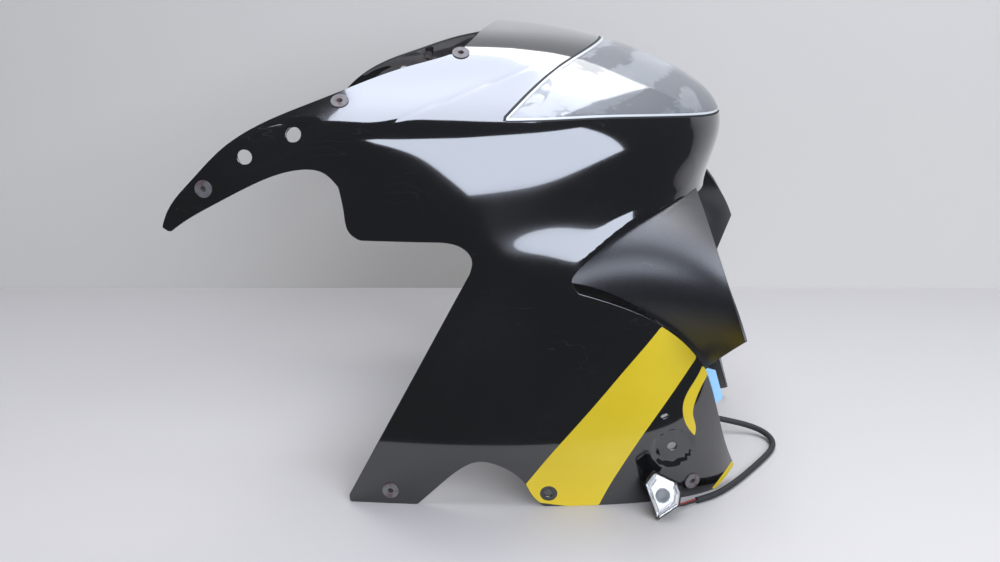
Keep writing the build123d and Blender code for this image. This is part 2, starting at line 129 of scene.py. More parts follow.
def dust_group() -> bpy.types.NodeTree:
    """Dust: fine specks gathered in cloudy patches, as a mask from 0 to 1.

    Returns:
        The group, whose "Dust" output is the mask.
    """
    group = new_group("settled_dust", {"Amount": 0.5}, ["Dust", "Haze"])
    tree = NodeTree(group)
    source, sink = group.nodes["in"], group.nodes["out"]
    specks = tree.add("ShaderNodeTexNoise", Scale=900.0, Detail=3.0, Roughness=0.7)
    patches = tree.add("ShaderNodeTexNoise", Scale=16.0, Detail=5.0, Roughness=0.62)
    speck_mask = tree.add("ShaderNodeMapRange", From_Min=0.60, From_Max=0.74)
    patch_mask = tree.add("ShaderNodeMapRange", From_Min=0.42, From_Max=0.72)
    both = tree.add("ShaderNodeMath", operation="MULTIPLY")
    level = tree.add("ShaderNodeMath", operation="MULTIPLY")
    haze = tree.add("ShaderNodeMath", operation="MULTIPLY")
    for texture, mask in ((specks, speck_mask), (patches, patch_mask)):
        tree.join(source.outputs["Place"], texture.inputs["Vector"])
        tree.join(texture.outputs["Fac"], mask.inputs["Value"])
    tree.join(speck_mask.outputs[0], both.inputs[0])
    tree.join(patch_mask.outputs[0], both.inputs[1])
    tree.join(both.outputs[0], level.inputs[0])
    tree.join(source.outputs["Amount"], level.inputs[1])
    tree.join(patch_mask.outputs[0], haze.inputs[0])
    tree.join(source.outputs["Amount"], haze.inputs[1])
    tree.join(level.outputs[0], sink.inputs["Dust"])
    tree.join(haze.outputs[0], sink.inputs["Haze"])
    return group


def scratch_group() -> bpy.types.NodeTree:
    """Scratches: thin wandering lines where stretched, bent noise crosses its middle value.

    Returns:
        The group, whose "Scratches" output is the mask.
    """
    group = new_group("fine_scratches", {"Scale": 60.0, "Amount": 0.5}, ["Scratches"])
    tree = NodeTree(group)
    source, sink = group.nodes["in"], group.nodes["out"]
    bend = tree.add("ShaderNodeTexNoise", Scale=9.0, Detail=2.0)
    nudge = tree.add("ShaderNodeVectorMath", operation="SCALE", Scale=0.05)
    moved = tree.add("ShaderNodeVectorMath", operation="ADD")
    turn = tree.add("ShaderNodeMapping", Rotation=(0.3, 0.9, 0.2), Scale=(0.12, 1.0, 1.0))
    lines = tree.add("ShaderNodeTexNoise", Detail=1.0, Roughness=0.4)
    offset = tree.add("ShaderNodeMath", operation="SUBTRACT")
    offset.inputs[1].default_value = 0.5
    size = tree.add("ShaderNodeMath", operation="ABSOLUTE")
    thin = tree.add("ShaderNodeMapRange", From_Min=0.003, From_Max=0.0)
    few = tree.add("ShaderNodeTexNoise", Scale=22.0, Detail=2.0)
    few_mask = tree.add("ShaderNodeMapRange", From_Min=0.5, From_Max=0.66)
    both = tree.add("ShaderNodeMath", operation="MULTIPLY")
    level = tree.add("ShaderNodeMath", operation="MULTIPLY")
    tree.join(source.outputs["Place"], bend.inputs["Vector"])
    tree.join(bend.outputs["Color"], nudge.inputs[0])
    tree.join(source.outputs["Place"], moved.inputs[0])
    tree.join(nudge.outputs[0], moved.inputs[1])
    tree.join(moved.outputs[0], turn.inputs["Vector"])
    tree.join(turn.outputs[0], lines.inputs["Vector"])
    tree.join(source.outputs["Scale"], lines.inputs["Scale"])
    tree.join(lines.outputs["Fac"], offset.inputs[0])
    tree.join(offset.outputs[0], size.inputs[0])
    tree.join(size.outputs[0], thin.inputs["Value"])
    tree.join(source.outputs["Place"], few.inputs["Vector"])
    tree.join(few.outputs["Fac"], few_mask.inputs["Value"])
    tree.join(thin.outputs[0], both.inputs[0])
    tree.join(few_mask.outputs[0], both.inputs[1])
    tree.join(both.outputs[0], level.inputs[0])
    tree.join(source.outputs["Amount"], level.inputs[1])
    tree.join(level.outputs[0], sink.inputs["Scratches"])
    return group


def grain_group() -> bpy.types.NodeTree:
    """Moulded grain: fine bumps over slow waves, as a height around 0.5.

    Returns:
        The group, whose "Height" output is the height.
    """
    group = new_group("moulded_grain", {"Scale": 1200.0}, ["Height"])
    tree = NodeTree(group)
    source, sink = group.nodes["in"], group.nodes["out"]
    grain = tree.add("ShaderNodeTexNoise", Detail=4.0, Roughness=0.6)
    tree.join(source.outputs["Place"], grain.inputs["Vector"])
    tree.join(source.outputs["Scale"], grain.inputs["Scale"])
    tree.join(grain.outputs["Fac"], sink.inputs["Height"])
    return group


@dataclass(frozen=True)
class Finish:
    """One finish: its colour, gloss, grain and wear.

    Args:
        name: The material's name.
        slot: The record's material slot; not used.
        colour: Base colour, linear.
        coating: What it is made of.
        roughness: Roughness of the clean surface.
        dust: How much dust lies on it.
        scratches: How strong its scratches are.
        scratch_scale: How many scratches fit in a metre.
        grain: Height of its grain, as a bump strength.
        grain_scale: How fine its grain is.
        ior: Index of refraction.
        patch: A second colour that slow patches blend in.
        patch_scale: How fine those patches are.
        dust_colour: The dust's colour.
        clear_share: How much of a clear finish is clear and not milky.
    """

    name: str
    slot: str
    colour: tuple[float, float, float]
    coating: Coating = Coating.MOULDED
    roughness: float = 0.4
    dust: float = 0.3
    scratches: float = 0.3
    scratch_scale: float = 60.0
    grain: float = 0.0
    grain_scale: float = 1200.0
    ior: float = 1.5
    patch: Optional[tuple[float, float, float]] = None
    patch_scale: float = 9.0
    dust_colour: tuple[float, float, float] = (0.34, 0.33, 0.31)
    clear_share: float = 1.0

    def material(self) -> bpy.types.Material:
        """Builds the material, or returns it if it is already there.

        Returns:
            The node material.
        """
        known = bpy.data.materials.get(self.name)
        if known:
            return known
        made = bpy.data.materials.new(self.name)
        made.use_nodes = True
        tree = NodeTree(made.node_tree)
        shader = made.node_tree.nodes["Principled BSDF"]
        place = tree.add("ShaderNodeTexCoord").outputs["Object"]
        dust = self.group(tree, "settled_dust", place, Amount=self.dust)
        marks = self.group(tree, "fine_scratches", place, Scale=self.scratch_scale,
                           Amount=self.scratches)
        self.paint(tree, shader, place, dust, marks)
        self.polish(tree, shader, dust, marks)
        self.emboss(tree, shader, place, marks)
        self.settle(shader)
        return made

    def group(self, tree: NodeTree, name: str, place: bpy.types.NodeSocket,
              **values: float) -> bpy.types.Node:
        """Places a shared group with its own values.

        Args:
            tree: Where the group goes.
            name: The group's name.
            place: The coordinates it reads.
            values: Its inputs.

        Returns:
            The group's node.
        """
        node = tree.tree.nodes.new("ShaderNodeGroup")
        node.node_tree = bpy.data.node_groups[name]
        for label, value in values.items():
            node.inputs[label].default_value = value
        tree.join(place, node.inputs["Place"])
        return node

    def paint(self, tree: NodeTree, shader: bpy.types.Node, place: bpy.types.NodeSocket,
              dust: bpy.types.Node, marks: bpy.types.Node) -> None:
        """Base colour: slow patches of the second colour, then dust and scratches on top."""
        second = self.patch or tuple(min(1.0, 1.25 * c + 0.002) for c in self.colour)
        slow = tree.add("ShaderNodeTexNoise", Scale=self.patch_scale, Detail=4.0)
        mask = tree.add("ShaderNodeMapRange", From_Min=0.45, From_Max=0.75)
        base = self.mix(tree, self.colour, second)
        dusty = self.mix(tree, None, self.dust_colour)
        scratched = self.mix(tree, None, tuple(min(1.0, 0.3 + c) for c in self.colour))
        tree.join(place, slow.inputs["Vector"])
        tree.join(slow.outputs["Fac"], mask.inputs["Value"])
        tree.join(mask.outputs[0], base.inputs["Factor"])
        tree.join(base.outputs["Result"], dusty.inputs["A"])
        tree.join(dust.outputs["Dust"], dusty.inputs["Factor"])
        tree.join(dusty.outputs["Result"], scratched.inputs["A"])
        tree.join(marks.outputs["Scratches"], scratched.inputs["Factor"])
        tree.join(scratched.outputs["Result"], shader.inputs["Base Color"])

    def mix(self, tree: NodeTree, first: Optional[tuple], second: tuple) -> bpy.types.Node:
        """A colour mix node between two colours, the first one left to a link if it is None."""
        node = tree.tree.nodes.new("ShaderNodeMix")
        node.data_type = "RGBA"
        node = MixSockets(node)
        if first:
            node.inputs["A"].default_value = (*first, 1)
        node.inputs["B"].default_value = (*second, 1)
        return node

    def polish(self, tree: NodeTree, shader: bpy.types.Node, dust: bpy.types.Node,
               marks: bpy.types.Node) -> None:
        """Roughness: the clean value, raised by haze and by scratches."""
        hazy = tree.add("ShaderNodeMath", operation="MULTIPLY_ADD")
        hazy.inputs[1].default_value = HAZE_ROUGHNESS
        hazy.inputs[2].default_value = self.roughness
        cut = tree.add("ShaderNodeMath", operation="MULTIPLY_ADD")
        cut.inputs[1].default_value = SCRATCH_ROUGHNESS
        tree.join(dust.outputs["Haze"], hazy.inputs[0])
        tree.join(marks.outputs["Scratches"], cut.inputs[0])
        tree.join(hazy.outputs[0], cut.inputs[2])
        tree.join(cut.outputs[0], shader.inputs["Roughness"])

    def emboss(self, tree: NodeTree, shader: bpy.types.Node, place: bpy.types.NodeSocket,
               marks: bpy.types.Node) -> None:
        """Bump: the grain's height less the scratches' depth."""
        grain = self.group(tree, "moulded_grain", place, Scale=self.grain_scale)
        depth = tree.add("ShaderNodeMath", operation="MULTIPLY_ADD")
        depth.inputs[1].default_value = -SCRATCH_DEPTH
        bump = tree.add("ShaderNodeBump", Strength=max(self.grain, 0.02), Distance=BUMP_DISTANCE)
        tree.join(marks.outputs["Scratches"], depth.inputs[0])
        tree.join(grain.outputs["Height"], depth.inputs[2])
        tree.join(depth.outputs[0], bump.inputs["Height"])
        tree.join(bump.outputs["Normal"], shader.inputs["Normal"])

    def settle(self, shader: bpy.types.Node) -> None:
        """Sets what is the same all over the surface."""
        shader.inputs["IOR"].default_value = self.ior
        if self.coating is Coating.LACQUER:
            shader.inputs["Coat Weight"].default_value = 1.0
            shader.inputs["Coat Roughness"].default_value = 0.02
            shader.inputs["Coat IOR"].default_value = 1.6
        if self.coating is Coating.FILM:
            shader.inputs["Coat Weight"].default_value = 0.35
            shader.inputs["Coat Roughness"].default_value = 0.15
        if self.coating is Coating.CLEAR:
            shader.inputs["Transmission Weight"].default_value = self.clear_share
        if self.coating is Coating.METALLISED:
            shader.inputs["Metallic"].default_value = 1.0
        if self.coating is Coating.RUBBER:
            shader.inputs["Specular IOR Level"].default_value = 0.3


class MixSockets:
    """A colour mix node whose sockets are found by their plain names."""

    def __init__(self, node: bpy.types.Node) -> None:
        """Maps Factor, A, B and Result to the node's colour sockets."""
        self.inputs = {"Factor": node.inputs[0], "A": node.inputs[6], "B": node.inputs[7]}
        self.outputs = {"Result": node.outputs[2]}


GLOSS_BLACK = Finish("gloss_black_lacquer", "gloss_black_abs", (0.004, 0.004, 0.0045), Coating.LACQUER,
                     roughness=0.08, dust=0.12, scratches=0.15, scratch_scale=90, ior=1.6)
CLEAR_LENS = Finish("scratched_clear_lens", "clear_polycarbonate", (0.93, 0.94, 0.95), Coating.CLEAR,
                    roughness=0.04, dust=0.1, scratches=0.5, scratch_scale=110, ior=1.5, clear_share=0.86)
# Painted highlight: a grey film on the lens's edge stands in for the shine of its cut edge.
PAINTED_LENS_HIGHLIGHT = Finish("painted_lens_rim_highlight", "clear_polycarbonate", (0.46, 0.47, 0.46), Coating.FILM,
                   roughness=0.25, dust=0.2, scratches=0.3)
GASKET = Finish("lens_seal_rubber", "gasket_rubber", (0.012, 0.012, 0.013), Coating.RUBBER,
                roughness=0.6, dust=0.3)
TUB_PLASTIC = Finish("lamp_tub_plastic", "black_plastic", (0.018, 0.018, 0.019), roughness=0.45,
                     grain=0.15)
SILVERED = Finish("silvered_reflector", "reflector_coating", (0.86, 0.87, 0.88), Coating.METALLISED,
                  roughness=0.28, dust=0.1, scratches=0.1)
# Painted shade: a darker copy of the silvered reflector coating, toned down for the indicator's reflector,
# which faces the lights.
SHADED_REFLECTOR_SILVER = Finish("reflector_painted_shade", "reflector_coating", (0.42, 0.42, 0.43), Coating.METALLISED,
                     roughness=0.22, dust=0.2, scratches=0.2)
BULB_GLASS = Finish("bulb_glass", "bulb_glass", (0.95, 0.96, 0.98), Coating.CLEAR, roughness=0.02,
                    dust=0.0, scratches=0.0)
NUT_RUBBER = Finish("well_nut_rubber", "eyelet_rubber", (0.15, 0.14, 0.14), Coating.RUBBER,
                    roughness=0.5, dust=0.5, patch=(0.09, 0.04, 0.03), patch_scale=160)
MATTE_PANEL = Finish("grained_matte_panel", "matte_black_panel", (0.014, 0.014, 0.016), roughness=0.38,
                     dust=0.3, scratches=0.1, grain=0.4, grain_scale=900, ior=1.6)
YELLOW_FILM = Finish("yellow_film", "yellow_vinyl", (0.68, 0.49, 0.014), Coating.FILM, roughness=0.33,
                     dust=0.18, scratches=0.2, patch=(0.74, 0.55, 0.03), dust_colour=(0.5, 0.42, 0.14))
LAMP_CLEAR = Finish("indicator_clear", "indicator_lens_clear", (0.95, 0.95, 0.92), Coating.CLEAR,
                    roughness=0.06, dust=0.2, scratches=0.3, ior=1.35)
DARK_BULB = Finish("indicator_dark_bulb", "dark_bulb", (0.02, 0.02, 0.022), Coating.LACQUER,
                   roughness=0.15, dust=0.1)
RED_COVER = Finish("red_wire_cover", "red_wire_cover", (0.16, 0.03, 0.022), roughness=0.45, dust=0.3)
BLACK_COVER = Finish("black_wire_cover", "black_wire_cover", (0.014, 0.014, 0.015), roughness=0.4,
                     dust=0.3)
SLEEVE = Finish("black_sleeve", "black_sleeve", (0.011, 0.011, 0.012), roughness=0.35, dust=0.3,
                grain=0.3, grain_scale=500)
BLUE_NYLON = Finish("light_blue_nylon", "light_blue_nylon", (0.30, 0.53, 0.78), roughness=0.45,
                    dust=0.15, grain=0.1)


# Curves and fields of the side view


def natural_weights(count: int, at: Array, slope: bool = False) -> Array:
    """Weights that turn samples at 0, 1, 2 ... into a natural cubic spline's value or slope.

    The second derivatives solve the usual three-term system; the weights are the straight
    blend of the two neighbours plus the cubic terms times those second derivatives.

    Args:
        count: How many samples there are.
        at: Where the spline is read, from 0 to count - 1.
        slope: Whether the slope is wanted in place of the value.

    Returns:
        One row of weights per place.
    """
    unit = np.eye(count)
    system = np.diag(np.full(count, 4.0)) + np.diag(np.ones(count - 1), 1) + np.diag(np.ones(count - 1), -1)
    second = np.zeros((count, count))
    second[1:-1] = 6 * (unit[:-2] - 2 * unit[1:-1] + unit[2:])
    system[0], system[-1] = unit[0], unit[-1]
    curvature = np.linalg.solve(system, second)
    i = np.clip(np.floor(at).astype(int), 0, count - 2)
    f = (at - i)[:, None]
    if slope:
        return (unit[i + 1] - unit[i] + (1 - 3 * (1 - f) ** 2) / 6 * curvature[i]
                + (3 * f ** 2 - 1) / 6 * curvature[i + 1])
    return ((1 - f) * unit[i] + f * unit[i + 1] + ((1 - f) ** 3 - (1 - f)) / 6 * curvature[i]
            + (f ** 3 - f) / 6 * curvature[i + 1])


def smooth_line(points: Points, step: float = 2.5) -> Array:
    """A smooth line through side-view points: a natural cubic over the chord length.

    Args:
        points: The points to pass through.
        step: Rough spacing of the result in millimetres.

    Returns:
        The line as an array of X, Z rows.
    """
    p = np.array(points, float)
    if len(p) < 3:
        return p
    chord = np.concatenate([[0], np.cumsum(np.linalg.norm(np.diff(p, axis=0), axis=1))])
    gaps = np.diff(chord)
    system = np.zeros((len(p), len(p)))
    right = np.zeros_like(p)
    inner = np.arange(1, len(p) - 1)
    system[inner, inner - 1], system[inner, inner + 1] = gaps[:-1], gaps[1:]
    system[inner, inner] = 2 * (gaps[:-1] + gaps[1:])
    right[inner] = 6 * np.diff(np.diff(p, axis=0) / gaps[:, None], axis=0)
    system[0, 0] = system[-1, -1] = 1
    bend = np.linalg.solve(system, right)
    at = np.linspace(0, chord[-1], max(4, int(chord[-1] / step)))
    i = np.clip(np.searchsorted(chord, at) - 1, 0, len(gaps) - 1)
    h = gaps[i][:, None]
    f = (at - chord[i])[:, None] / h
    return ((1 - f) * p[i] + f * p[i + 1]
            + h ** 2 / 6 * (((1 - f) ** 3 - (1 - f)) * bend[i] + (f ** 3 - f) * bend[i + 1]))


def outline(*stretches: Points) -> Array:
    """A closed side-view outline: smooth stretches one after the other, corners between them."""
    return np.concatenate([smooth_line(stretch) for stretch in stretches])


def distance_to_outline(place: Array, edge: Array) -> Array:
    """Signed distance to a closed outline, negative inside.

    The distance is the least one to any side, and the sign comes from counting the sides that a
    ray to the right crosses.

    Args:
        place: X, Z rows.
        edge: The outline's corners.

    Returns:
        One distance per row.
    """
    start, end = edge, np.roll(edge, -1, axis=0)
    side = end - start
    length = np.maximum((side ** 2).sum(1), 1e-9)
    result = np.empty(len(place))
    for part in np.array_split(np.arange(len(place)), max(1, len(place) * len(edge) // 4_000_000)):
        q = place[part][:, None] - start
        along = np.clip((q * side).sum(-1) / length, 0, 1)
        gap = np.sqrt(((q - along[..., None] * side) ** 2).sum(-1)).min(1)
        z = place[part][:, 1:2]
        spans = (start[:, 1] > z) != (end[:, 1] > z)
        rise = np.where(side[:, 1] == 0, 1e-9, side[:, 1])
        crossing = start[:, 0] + (z - start[:, 1]) / rise * side[:, 0]
        inside = (spans & (place[part][:, :1] < crossing)).sum(1) % 2
        result[part] = np.where(inside == 1, -gap, gap)
    return result


def distance_to_line(place: Array, line: Array) -> tuple[Array, Array]:
    """Signed distance to an open line, positive on its left, and the share of the line reached."""
    start, side = line[:-1], np.diff(line, axis=0)
    q = place[:, None] - start
    along = np.clip((q * side).sum(-1) / (side ** 2).sum(1), 0, 1)
    offset = q - along[..., None] * side
    gap = np.sqrt((offset ** 2).sum(-1))
    nearest = gap.argmin(1)
    rows = np.arange(len(place))
    turn = side[nearest, 0] * q[rows, nearest, 1] - side[nearest, 1] * q[rows, nearest, 0]
    share = (nearest + along[rows, nearest]) / len(side)
    return np.copysign(gap[rows, nearest], turn), share


def smooth_step(x: Array, low: float, high: float) -> Array:
    """A smooth rise from 0 at low to 1 at high."""
    t = np.clip((x - low) / (high - low), 0, 1)
    return t * t * (3 - 2 * t)


@dataclass(frozen=True)
class SideView:
    """The moulding's outlines in side view, in millimetres, as X, Z points."""

    windscreen_edge: Points = ((0, 416), (-6, 409), (-24, 401), (-56, 393), (-86, 383), (-118, 371),
                               (-154, 357), (-194, 333), (-224, 304), (-249, 274), (-254, 262))
    arm_underside: Points = ((-248, 258), (-240, 264), (-201, 287), (-164, 306), (-129, 317), (-108, 315),
                             (-95, 303))
    arm_corner: Points = ((-95, 303), (-91, 280), (-87, 263), (-79, 257))
    waist: Points = ((-9, 256.5), (8, 252), (17, 241), (15, 228))
    rear_foot: Points = ((-101, 6), (-100, 0))
    arch: Points = ((-38, 0), (-18, 20), (4, 40), (19, 47), (34, 45), (48, 38), (62, 24), (68, 12), (80, 0))
    front_foot: Points = ((236, 0), (253, 15))
    front_edge: Points = ((253, 15), (242, 49), (231, 92), (219, 131))
    intake_lower: Points = ((219, 131), (204, 153), (181, 175), (159, 189), (125, 204), (107, 210))
    intake_tip: Points = ((107, 210), (100, 221), (106, 232))
    intake_upper: Points = ((106, 232), (135, 256), (163, 270), (189, 279))
    beyond_nose: Points = ((240, 266), (300, 266), (300, 440), (0, 440))
    lens_lower: Points = ((41, 355.5), (85, 355), (118, 354.5), (151, 352.5), (185, 349), (217, 344),
                          (240, 340))
    lens_rear: Points = ((112, 409), (101, 404), (78, 391.5), (53, 370), (41, 357.5))
    band_rear: Points = ((50, 8), (63, 25), (80, 49), (102, 78), (128, 112), (153, 145), (169, 165),
                         (182, 182))
    band_front: Points = ((214, 149), (209, 142), (194, 119), (179, 95), (164, 70), (147, 39), (135, 15),
                          (127, -4))
    flame_rear: Points = ((217, 139), (214, 130), (206, 116), (201, 103), (201, 92), (205, 79), (213, 66))
    flame_front: Points = ((213, 66), (213, 77), (210, 89), (211, 101), (215, 113), (220, 123), (226, 132))
    corner_strip: Points = ((229, -2), (250, 21), (260, 21), (260, -2))
    crease: Points = ((-112, 330), (-90, 341), (-50, 356), (0, 374), (36, 386), (67, 397))

    def moulding(self) -> Array:
        """The whole moulding, before the lens opening is cut."""
        return outline(self.windscreen_edge, self.arm_underside, self.arm_corner, self.waist,
                       self.rear_foot, self.arch, self.front_foot, self.front_edge, self.intake_lower,
                       self.intake_tip, self.intake_upper, self.beyond_nose)

    def lens(self, grow: float = 0.0) -> Array:
        """The lens, open towards the nose and the crown, grown on its two seams."""
        lower = [(x - grow, z - 0.5 * grow) for x, z in self.lens_lower]
        rear = [(x - grow, z + 0.3 * grow) for x, z in self.lens_rear]
        beyond = [(300, 336), (300, 440), (rear[0][0], 440)]
        return outline(lower, beyond[:2], beyond[2:], rear)


@dataclass(frozen=True)
class Skin:
    """The body's outer skin: for each height a superellipse in plan.

    The table's rows hold height, reach of the nose, half width at the back, fullness and
    bluntness, in millimetres.
    """

    table: tuple[tuple[float, ...], ...] = (
        (0, 269, 201, 1.95, 4.2), (125, 251, 205, 1.9, 6.3), (200, 234, 207, 2.6, 5.0),
        (240, 214, 208, 3.2, 3.9), (265, 204, 209, 3.1, 3.1), (285, 209, 210, 3.1, 2.6),
        (305, 222, 210, 3.1, 2.2), (322, 230, 209, 3.0, 1.9), (338, 234, 208, 3.0, 1.65),
        (350, 231, 206, 3.0, 1.6), (362, 218, 194, 2.9, 1.7), (375, 196, 174, 2.7, 1.8),
        (388, 169, 156, 2.6, 1.9), (398, 144, 139, 3.0, 2.0), (407, 111, 120, 4.2, 2.1),
        (413, 81, 101, 6.5, 2.2), (417, 44, 85, 9.0, 2.3), (419, 4, 72, 11.0, 2.4),
        (420, -21, 62, 12.0, 2.5))
    rear_x: float = -281.0
    base_z: float = -12.0
    rear_top_z: float = 318.0
    rows: int = 20
    columns: int = 18

    def law(self, z: Array) -> list[Array]:
        """Reach, half width, fullness and bluntness at the heights z, by a monotone cubic.

        Args:
            z: Heights in millimetres.

        Returns:
            The four values at each height.
        """
        table = np.array(self.table, float)
        heights = table[:, 0]
        z = np.clip(z, 0, heights[-1])
        step = np.diff(heights)
        i = np.clip(np.searchsorted(heights, z) - 1, 0, len(step) - 1)
        s = z - heights[i]
        values = []
        for column in table[:, 1:].T:
            rise = np.diff(column) / step
            slope = np.concatenate([[rise[0]], np.zeros(len(rise) - 1), [rise[-1]]])
            turning = rise[:-1] * rise[1:] > 0
            near, far = (2 * step[1:] + step[:-1])[turning], (step[1:] + 2 * step[:-1])[turning]
            slope[1:-1][turning] = (near + far) / (near / rise[:-1][turning] + far / rise[1:][turning])
            quad = (3 * rise[i] - 2 * slope[i] - slope[i + 1]) / step[i]
            cube = (slope[i] + slope[i + 1] - 2 * rise[i]) / step[i] ** 2
            values.append(column[i] + s * (slope[i] + s * (quad + s * cube)))
        return values

    def row(self, front_z: float, rear_z: float) -> Array:
        """Evenly spaced points from the nose to the back, on a plane that falls to the rear."""
        reach = float(self.law(np.array(front_z))[0])
        t = np.linspace(0, 1, 2500) ** 3
        x = reach + (self.rear_x - reach) * t
        z = front_z + (rear_z - front_z) * t
        nose, width, fullness, bluntness = self.law(z)
        back = np.clip((nose - x) / (nose - self.rear_x), 0, 1)
        y = width * (1 - (1 - back) ** fullness) ** (1 / bluntness)
        y[0] = 0
        line = np.stack([x, -y, z], -1)
        run = np.concatenate([[0], np.cumsum(np.linalg.norm(np.diff(line, axis=0), axis=1))])
        even = np.linspace(0, run[-1], self.columns)
        return np.stack([np.interp(even, run, values) for values in line.T], -1)

    def grid(self) -> Array:
        """The net of points that the skin passes through, left side and right side in one.

        Returns:
            Rows from the base up, columns from the left rear over the nose to the right rear.
        """
        z = np.linspace(self.base_z, self.table[-1][0], 4000)
        reach = self.law(z)[0]
        run = np.concatenate([[0], np.cumsum(np.hypot(np.diff(z), np.diff(reach)))])
        share = np.linspace(0, 1, self.rows)
        fronts = np.interp(share * run[-1], run, z)
        rears = self.base_z + (self.rear_top_z - self.base_z) * share
        net = np.array([self.row(a, b) for a, b in zip(fronts, rears)])
        net = np.concatenate([net[:, :0:-1] * (1, -1, 1), net], 1)
        net[1:-1] = (net[:-2] + 2 * net[1:-1] + net[2:]) / 4
        net[:, 1:-1] = (net[:, :-2] + 2 * net[:, 1:-1] + net[:, 2:]) / 4
        return net


SIDE = SideView()
SKIN = Skin()
NET = SKIN.grid()


def skin_point(up: Array, along: Array) -> tuple[Array, Array]:
    """Points and outward normals of the plain skin.

    Args:
        up: Place across the rows, 0 to rows - 1.
        along: Signed place along a row: 0 at the nose, positive on the right side.

    Returns:
        The points and the unit normals.
    """
    count = NET.shape[1]
    column = along + (count - 1) / 2
    rows, row_slopes = (natural_weights(len(NET), up, s) for s in (False, True))
    columns, column_slopes = (natural_weights(count, column, s) for s in (False, True))
    across = np.einsum("ki,ijc->kjc", rows, NET)
    point = np.einsum("kj,kjc->kc", columns, across)
    down_row = np.einsum("kj,kjc->kc", column_slopes, across)
    up_row = np.einsum("kj,kjc->kc", columns, np.einsum("ki,ijc->kjc", row_slopes, NET))
    normal = np.cross(up_row, down_row)
    return point, normal / np.linalg.norm(normal, axis=1)[:, None]


@dataclass(frozen=True)
class Relief:
    """Shallow forms on the skin, as an outward offset in millimetres over the side view."""

    mirror_centre: tuple[float, float] = (-155, 335)
    mirror_half: tuple[float, float] = (41, 14)
    mirror_angle: float = np.radians(25)
    seat_centre: tuple[float, float] = (194, 57)
    seat_radius: float = 19.0
    dish_depth: float = 2.4
    crease_height: float = 1.5
    lip_height: float = 1.1

    def offset(self, place: Array) -> Array:
        """The sum of the dishes, the crease and the lip at each X, Z row."""
        x, z = (place - self.mirror_centre).T
        c, s = np.cos(self.mirror_angle), np.sin(self.mirror_angle)
        u, v = (c * x + s * z) / self.mirror_half[0], (c * z - s * x) / self.mirror_half[1]
        oval = (np.hypot(u, v) - 1) * self.mirror_half[1]
        round_seat = np.linalg.norm(place - self.seat_centre, axis=1) - self.seat_radius
        dishes = sum(smooth_step(-d, -2.5, 4.0) for d in (oval, round_seat))
        return self.crest(place) + self.lip(place) - self.dish_depth * dishes

    def crest(self, place: Array) -> Array:
        """A soft crease below the windscreen edge: a rounded ridge that fades at its ends."""
        gap, share = distance_to_line(place, smooth_line(SIDE.crease, 12))
        ends = smooth_step(share, 0, 0.25) * smooth_step(-share, -1.0, -0.85)
        return self.crease_height * ends * np.exp(-np.abs(gap) / 14) * (1 - np.exp(-np.abs(gap) / 3) * 0.4)

    def lip(self, place: Array) -> Array:
        """A raised lip along the upper edge of the intake."""
        gap, share = distance_to_line(place, smooth_line(SIDE.intake_upper, 8))
        ends = smooth_step(share, 0, 0.2) * smooth_step(-share, -1.0, -0.8)
        return self.lip_height * ends * np.exp(-((gap - 4) / 5) ** 2)


RELIEF = Relief()


